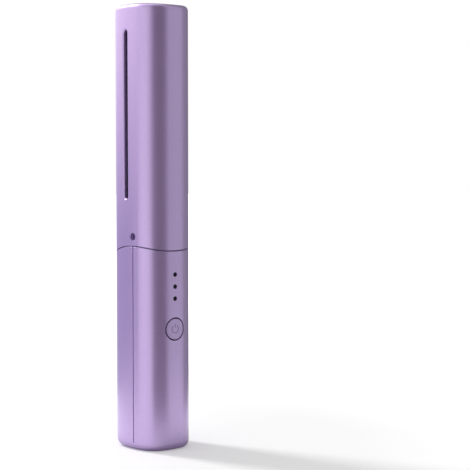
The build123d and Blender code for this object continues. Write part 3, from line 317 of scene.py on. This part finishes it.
FINISHES = {
    "lavender_shell": pearl_paint("pearl_lavender", LAVENDER, LAVENDER_GLINT),
    "lavender_button": pearl_paint("pearl_button", srgb(172, 150, 196), srgb(182, 161, 205), 0.15 * MM),
    "black_core": black_ceramic(),
    "clear_lens": smoked_lens(),
    "led_white": moulded_plastic("led_white", srgb(232, 226, 190), srgb(240, 238, 220), 0.25, 0.4),
    "zinc_steel": bare_metal("zinc_steel", srgb(190, 192, 196), 0.25, 0.42),
    "black_steel": bare_metal("black_steel", srgb(58, 58, 62), 0.3, 0.5),
    "heater_ceramic": moulded_plastic("heater_ceramic", srgb(196, 182, 156), srgb(214, 202, 178), 0.6, 0.85),
    "polyimide": moulded_plastic("amber_film", srgb(176, 104, 30), srgb(204, 132, 44), 0.12, 0.25, 800.0),
    "clamp_aluminium": bare_metal("clamp_aluminium", srgb(204, 205, 208), 0.22, 0.4),
    "bush_white": moulded_plastic("bush_white", srgb(214, 210, 200), srgb(228, 225, 216), 0.5, 0.7),
    "sensor_glass": moulded_plastic("sensor_glass", srgb(160, 84, 40), srgb(186, 110, 60), 0.08, 0.16, 900.0),
    "fuse_body": bare_metal("fuse_can", srgb(212, 205, 184), 0.2, 0.35),
    "board_green": circuit_mask(),
    "chip_black": moulded_plastic("chip_epoxy", srgb(20, 20, 22), srgb(32, 32, 35), 0.45, 0.65),
    "inductor_grey": moulded_plastic("pressed_ferrite", srgb(56, 56, 58), srgb(72, 72, 74), 0.6, 0.85,
                                     1500.0),
    "switch_black": moulded_plastic("switch_black", srgb(24, 24, 26), srgb(34, 34, 37), 0.35, 0.5),
    "plunger_white": moulded_plastic("plunger_white", srgb(222, 221, 216), srgb(233, 232, 228), 0.35, 0.5),
    "port_steel": bare_metal("port_steel", srgb(196, 198, 202), 0.18, 0.34),
    "cell_wrap": cell_sleeve(),
    "cradle_grey": moulded_plastic("cradle_grey", srgb(200, 200, 202), srgb(214, 214, 216), 0.45, 0.65),
    "nickel_tab": bare_metal("nickel_tab", srgb(202, 198, 184), 0.22, 0.4, (6000.0, 300.0, 300.0)),
    "bumper_black": moulded_plastic("bumper_rubber", srgb(26, 26, 28), srgb(36, 36, 38), 0.7, 0.9, 1200.0),
    # The carrier's near-black is painted shade: it stands in for the shade in the ring gap round the power
    # button.
    "carrier_black": moulded_plastic("carrier_black", srgb(7, 6, 8), srgb(12, 11, 13), 0.6, 0.8),
    "wire_white": moulded_plastic("wire_white", srgb(218, 215, 206), srgb(230, 228, 221), 0.4, 0.6),
    "wire_sensor": moulded_plastic("wire_green", srgb(44, 104, 60), srgb(58, 122, 74), 0.3, 0.5),
    "wire_battery": moulded_plastic("wire_red", srgb(158, 24, 22), srgb(178, 36, 32), 0.4, 0.6),
}

for part in frame["record"]["subparts"]:
    shown = nodes[part["node"]]
    shown.data.materials.clear()
    shown.data.materials.append(FINISHES[part["material_slot"]])

# ---------------------------------------------------------------- pieces of the scene
def start_piece():
    """Nothing selected, so that an operator acts only on the primitive added next."""
    bpy.ops.object.select_all(action="DESELECT")


def settle(piece, name, finish):
    """Names a piece, puts its place into its mesh and gives it its finish."""
    piece.name = name
    start_piece()
    piece.select_set(True)
    bpy.context.view_layer.objects.active = piece
    bpy.ops.object.transform_apply(location=True, rotation=True, scale=True)
    piece.data.materials.clear()
    piece.data.materials.append(finish)
    return piece


def select_faces(piece, wanted):
    """Leaves edit mode with only the faces selected whose centre is wanted."""
    bpy.ops.object.mode_set(mode="EDIT")
    bpy.ops.mesh.select_mode(type="FACE")
    bpy.ops.mesh.select_all(action="DESELECT")
    bpy.ops.object.mode_set(mode="OBJECT")
    for face in piece.data.polygons:
        face.select = wanted(face.center)


def join_pieces(pieces):
    """Several meshes made into the first one."""
    start_piece()
    for piece in pieces:
        piece.select_set(True)
    bpy.context.view_layer.objects.active = pieces[0]
    bpy.ops.object.join()
    return pieces[0]


BLOCK_SEGMENTS = 3


def rounded_block(place, size, rounding):
    """A block with rounded edges, around a place."""
    start_piece()
    bpy.ops.mesh.primitive_cube_add(size=1, location=place)
    block = bpy.context.object
    block.scale = size
    bpy.ops.object.transform_apply(location=False, rotation=False, scale=True)
    bevel = block.modifiers.new("edges", "BEVEL")
    bevel.width = rounding
    bevel.segments = BLOCK_SEGMENTS
    bpy.ops.object.modifier_apply(modifier=bevel.name)
    return block


# The mark on the button: an open ring and a bar, raised a little over the button's face.
MARK_RADIUS = 1.75 * MM
MARK_LINE = 0.15 * MM            # half of the width of its lines
MARK_GAP = math.radians(36)      # half of the opening at the top of the ring
MARK_BAR = 1.9 * MM
MARK_BAR_DROP = 0.15 * MARK_BAR  # the middle of the bar lies this much below the top of the ring
MARK_BAR_EDGE = 0.6 * MARK_LINE
MARK_SUNK = 0.35 * MARK_LINE     # the middle of the lines lies this much inside the button's face
button_low, button_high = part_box("power_button")
button_middle = (button_low[2] + button_high[2]) / 2

start_piece()
bpy.ops.mesh.primitive_torus_add(major_segments=90, minor_segments=12, major_radius=MARK_RADIUS,
                                 minor_radius=MARK_LINE, location=(0, 0, 0),
                                 rotation=(math.radians(90), 0, 0))
mark_ring = bpy.context.object
bpy.ops.object.transform_apply(location=False, rotation=True, scale=False)
select_faces(mark_ring, lambda spot: abs(math.atan2(spot.x, spot.z)) < MARK_GAP)
bpy.ops.object.mode_set(mode="EDIT")
bpy.ops.mesh.delete(type="FACE")
bpy.ops.mesh.select_all(action="SELECT")
bpy.ops.mesh.fill_holes(sides=0)
bpy.ops.mesh.normals_make_consistent(inside=False)
bpy.ops.object.mode_set(mode="OBJECT")
mark_bar = rounded_block((0, 0, MARK_RADIUS - MARK_BAR_DROP), (2 * MARK_LINE, 2 * MARK_LINE, MARK_BAR),
                         MARK_BAR_EDGE)
power_mark = join_pieces([mark_ring, mark_bar])
power_mark.location = (0, button_low[1] + MARK_SUNK, button_middle)
settle(power_mark, "power_mark",
       moulded_plastic("mark_mauve", srgb(112, 94, 134), srgb(124, 106, 146), 0.35, 0.5, 6000.0))
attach(power_mark, "button")

# Gold contacts on the tongue of the charging port.
port_low, port_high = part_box("usb_c_port")
port_middle = (port_low[1] + port_high[1]) / 2
CONTACT_COUNT = 12
CONTACT_PITCH = 0.5 * MM
CONTACT_SIZE = (0.26 * MM, 0.08 * MM, 3.4 * MM)
CONTACT_EDGE = 0.03 * MM
CONTACT_RISE = 2.0 * MM          # from the start of the tongue to the middle of a contact
TONGUE_START = port_low[2] + 1.0 * MM
TONGUE_HALF = 0.35 * MM
contacts = []
for side in (-1, 1):
    for step in range(CONTACT_COUNT):
        across = (step - (CONTACT_COUNT - 1) / 2) * CONTACT_PITCH
        spot = (across, port_middle + side * TONGUE_HALF, TONGUE_START + CONTACT_RISE)
        contacts.append(rounded_block(spot, CONTACT_SIZE, CONTACT_EDGE))
port_contacts = join_pieces(contacts)
settle(port_contacts, "port_contacts",
       bare_metal("gold_contacts", srgb(214, 178, 96), 0.16, 0.28))
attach(port_contacts, "handle")

# Small chips, each with two tinned ends, on the face of the board.
board_low, board_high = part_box("circuit_board")
CHIP_SPOTS = ((-6.2, 36.5), (-6.2, 33.5), (-6.2, 30.5), (6.2, 36.5), (6.2, 33.5), (6.2, 30.5), (-2.0, 40.5),
              (0.6, 40.5), (3.2, 40.5), (-5.6, 12.0), (5.6, 12.0), (-3.0, 66.0), (-3.0, 71.5), (-3.0, 77.0),
              (-5.4, 46.0), (5.4, 46.0), (-1.4, 46.0), (1.4, 46.0))
CHIP_SIZE = (1.0 * MM, 0.5 * MM, 0.8 * MM)
CHIP_EDGE = 0.05 * MM
CHIP_MIDDLE = 0.24 * MM          # from the board's face out to the middle of a chip
END_SIZE = (0.36 * MM, 0.52 * MM, 0.84 * MM)
END_EDGE = 0.07 * MM
END_STEP = (0.6 * MM, 0.01 * MM)   # from the middle of a chip, along the board and inwards
bodies, ends = [], []
for across, height in CHIP_SPOTS:
    spot = (across * MM, board_low[1] - CHIP_MIDDLE, height * MM)
    bodies.append(rounded_block(spot, CHIP_SIZE, CHIP_EDGE))
    for way in (-1, 1):
        end = (spot[0] + way * END_STEP[0], spot[1] + END_STEP[1], spot[2])
        ends.append(rounded_block(end, END_SIZE, END_EDGE))
chip_bodies = settle(join_pieces(bodies), "chip_bodies",
                     moulded_plastic("chip_ceramic", srgb(92, 70, 52), srgb(120, 94, 70), 0.4, 0.6))
chip_ends = settle(join_pieces(ends), "chip_ends",
                   bare_metal("chip_tin", srgb(200, 200, 198), 0.25, 0.4, (3000.0, 3000.0, 3000.0)))
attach(chip_bodies, "handle")
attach(chip_ends, "handle")

# ---------------------------------------------------------------- floor
FLOOR_SIZE = 6.0
FLOOR_CELLS = 8
PAPER_GREYS = ((0.88, 0.88, 0.88, 1), (0.9, 0.9, 0.9, 1))
NEAR_GLOW = 0.27              # what the floor shows of its own white close to the object and far away
FAR_GLOW = 1.0
GLOW_RISE = (0.1, 0.6)        # distances from the object between which the one turns into the other
GLOSS_GLOW = 0.85             # what gloss sees of that white
SHADE_DISC_PLACE = (0.012, -0.002, 0)
SHADE_DISC_RISE = (0.024, 0.045)   # round this place, on the side of the shadow, gloss sees no white at all: painted shade in the floor's reflection


def white_for_sight(tree):
    """1 for rays that the camera, a mirror or a lens sends out, 0 for light that is scattered."""
    rays = tree.nodes.new("ShaderNodeLightPath")
    sight = rays.outputs["Is Camera Ray"]
    for label in ("Is Glossy Ray", "Is Transmission Ray"):
        either = add_node(tree, "ShaderNodeMath", {"operation": "MAXIMUM"})
        tree.links.new(sight, either.inputs[0])
        tree.links.new(rays.outputs[label], either.inputs[1])
        sight = either.outputs["Value"]
    return sight


start_piece()
bpy.ops.mesh.primitive_grid_add(x_subdivisions=FLOOR_CELLS, y_subdivisions=FLOOR_CELLS, size=FLOOR_SIZE,
                                location=(0, 0, 0))
floor = bpy.context.object
floor.name = "studio_floor"

paper = Finish("white_paper", Roughness=0.8, Emission_Color=(1, 1, 1, 1))
fibres = paper.use(GRAIN, Grain_Scale=900.0, Cloud_Scale=3.0)
paper.colour(blend_colours(paper.tree, fibres.outputs["Cloud"], *PAPER_GREYS))
away = add_node(paper.tree, "ShaderNodeVectorMath", {"operation": "LENGTH"})
paper.tree.links.new(paper.place, away.inputs[0])
rise = add_node(paper.tree, "ShaderNodeMapRange", From_Min=GLOW_RISE[0], From_Max=GLOW_RISE[1])
paper.tree.links.new(away.outputs["Value"], rise.inputs["Value"])
# Painted shade in reflections: in a disc set toward the shadow side of the foot, gloss sees none of the
# floor's glow.
off_shade_disc = add_node(paper.tree, "ShaderNodeVectorMath", {"operation": "DISTANCE"})
paper.tree.links.new(paper.place, off_shade_disc.inputs[0])
off_shade_disc.inputs[1].default_value = SHADE_DISC_PLACE
shade_disc = add_node(paper.tree, "ShaderNodeMapRange", From_Min=SHADE_DISC_RISE[0], From_Max=SHADE_DISC_RISE[1])
paper.tree.links.new(off_shade_disc.outputs["Value"], shade_disc.inputs["Value"])
seen = between(paper.tree, rise.outputs["Result"], NEAR_GLOW, FAR_GLOW)
mirrored = between(paper.tree, shade_disc.outputs["Result"], 0.0, GLOSS_GLOW)
sight_line = paper.tree.nodes.new("ShaderNodeLightPath").outputs["Is Camera Ray"]
glow = between(paper.tree, sight_line, mirrored, seen)
paper.tree.links.new(between(paper.tree, white_for_sight(paper.tree), 0.0, glow),
                     paper.shader.inputs["Emission Strength"])
floor.data.materials.append(paper.material)

# ---------------------------------------------------------------- lights
WORLD_DIFFUSE = 0.35          # what the white world gives to light that is scattered
LAMP_AIM = Vector((0, 0, 0.1))

world = bpy.data.worlds.new("studio")
bpy.context.scene.world = world
world.use_nodes = True
sky = world.node_tree
sky.nodes["Background"].inputs["Color"].default_value = (1, 1, 1, 1)
sky.links.new(between(sky, white_for_sight(sky), WORLD_DIFFUSE, 1.0),
              sky.nodes["Background"].inputs["Strength"])


def area_light(name, place, width, height, watts, colour=(1, 1, 1)):
    """A soft box at a place, turned to shine at the middle of the object."""
    bpy.ops.object.light_add(type="AREA", location=place)
    lamp = bpy.context.object
    lamp.name = name
    lamp.data.shape = "RECTANGLE"
    lamp.data.size = width
    lamp.data.size_y = height
    lamp.data.energy = watts
    lamp.data.color = colour
    lamp.rotation_mode = "QUATERNION"
    lamp.rotation_quaternion = (LAMP_AIM - Vector(place)).to_track_quat("-Z", "Y")


CARD_HEIGHT = 0.6
CARD_SIDES = 120
FELT_GREYS = ((0.02, 0.02, 0.02, 1), (0.04, 0.04, 0.04, 1))
CARD_TURN = (0.09, 0.24)      # heights between which a card turns from its low colour into its high one


def studio_card(name, first, last, radius, low, high=None):
    """A curved card from one azimuth to another, in degrees from +X; only gloss sees it.

    Its low colour may turn into another, high, further up.
    """
    start_piece()
    bpy.ops.mesh.primitive_cylinder_add(vertices=CARD_SIDES, radius=radius, depth=CARD_HEIGHT,
                                        end_fill_type="NOTHING", location=(0, 0, CARD_HEIGHT / 2))
    card = bpy.context.object
    card.name = name
    select_faces(card, lambda spot: (math.degrees(math.atan2(spot.y, spot.x)) - first) % 360 > last - first)
    bpy.ops.object.mode_set(mode="EDIT")
    bpy.ops.mesh.delete(type="FACE")
    bpy.ops.object.mode_set(mode="OBJECT")
    felt = Finish(name + "_felt", Roughness=0.9, Emission_Strength=1.0)
    height = add_node(felt.tree, "ShaderNodeSeparateXYZ")
    felt.tree.links.new(felt.place, height.inputs["Vector"])
    climb = add_node(felt.tree, "ShaderNodeMapRange", From_Min=CARD_TURN[0] - CARD_HEIGHT / 2,
                     From_Max=CARD_TURN[1] - CARD_HEIGHT / 2)
    felt.tree.links.new(height.outputs["Z"], climb.inputs["Value"])
    felt.tree.links.new(blend_colours(felt.tree, climb.outputs["Result"], (*low, 1), (*(high or low), 1)),
                        felt.shader.inputs["Emission Color"])
    fibre = felt.use(GRAIN, Grain_Scale=700.0, Cloud_Scale=20.0)
    felt.colour(blend_colours(felt.tree, fibre.outputs["Cloud"], *FELT_GREYS))
    card.data.materials.append(felt.material)
    card.visible_camera = False
    card.visible_diffuse = False
    card.visible_shadow = False


area_light("sun_back", (-0.2, 0.66, 0.72), 0.16, 0.16, 4.6)
area_light("key_left", (-0.8, -0.05, 0.3), 0.7, 0.7, 0.75, (1.0, 0.98, 0.94))
area_light("fill_right", (0.45, -0.75, 0.35), 0.3, 0.5, 0.4)
area_light("top_soft", (0.0, 0.1, 0.9), 0.5, 0.5, 0.8)
studio_card("card_front", -138, -80, 0.08, (0.1, 0.05, 0.09))
studio_card("card_middle", -80, -34, 0.15, (0.75, 0.75, 0.75))
studio_card("card_right", -34, 8, 0.1, (0.28, 0.28, 0.28))
studio_card("card_edge", 8, 75, 0.15, (0.14, 0.14, 0.14))
studio_card("card_back", 75, 158, 0.15, (0.53, 0.49, 0.69), (1.9, 1.8, 1.8))

# ---------------------------------------------------------------- camera
CAMERA_PLACE = (-0.3845, -0.509, 0.1344)
CAMERA_HEADING = (0.6488, 0.7609)
CAMERA_DROP = math.radians(3.41)
CAMERA_LENS = 107.27
CAMERA_SENSOR = 36.0

bpy.ops.object.camera_add(location=CAMERA_PLACE)
camera = bpy.context.object
camera.name = "camera"
camera.data.sensor_width = CAMERA_SENSOR
camera.data.lens = CAMERA_LENS
level = math.cos(CAMERA_DROP)
forward = Vector((CAMERA_HEADING[0] * level, CAMERA_HEADING[1] * level, -math.sin(CAMERA_DROP)))
camera.rotation_mode = "QUATERNION"
camera.rotation_quaternion = forward.to_track_quat("-Z", "Y")
camera.data.clip_start = 0.01
camera.data.clip_end = 20.0
bpy.context.scene.camera = camera
bpy.context.scene.view_settings.view_transform = "Standard"

# ---------------------------------------------------------------- last update of the scene
bpy.context.view_layer.update()
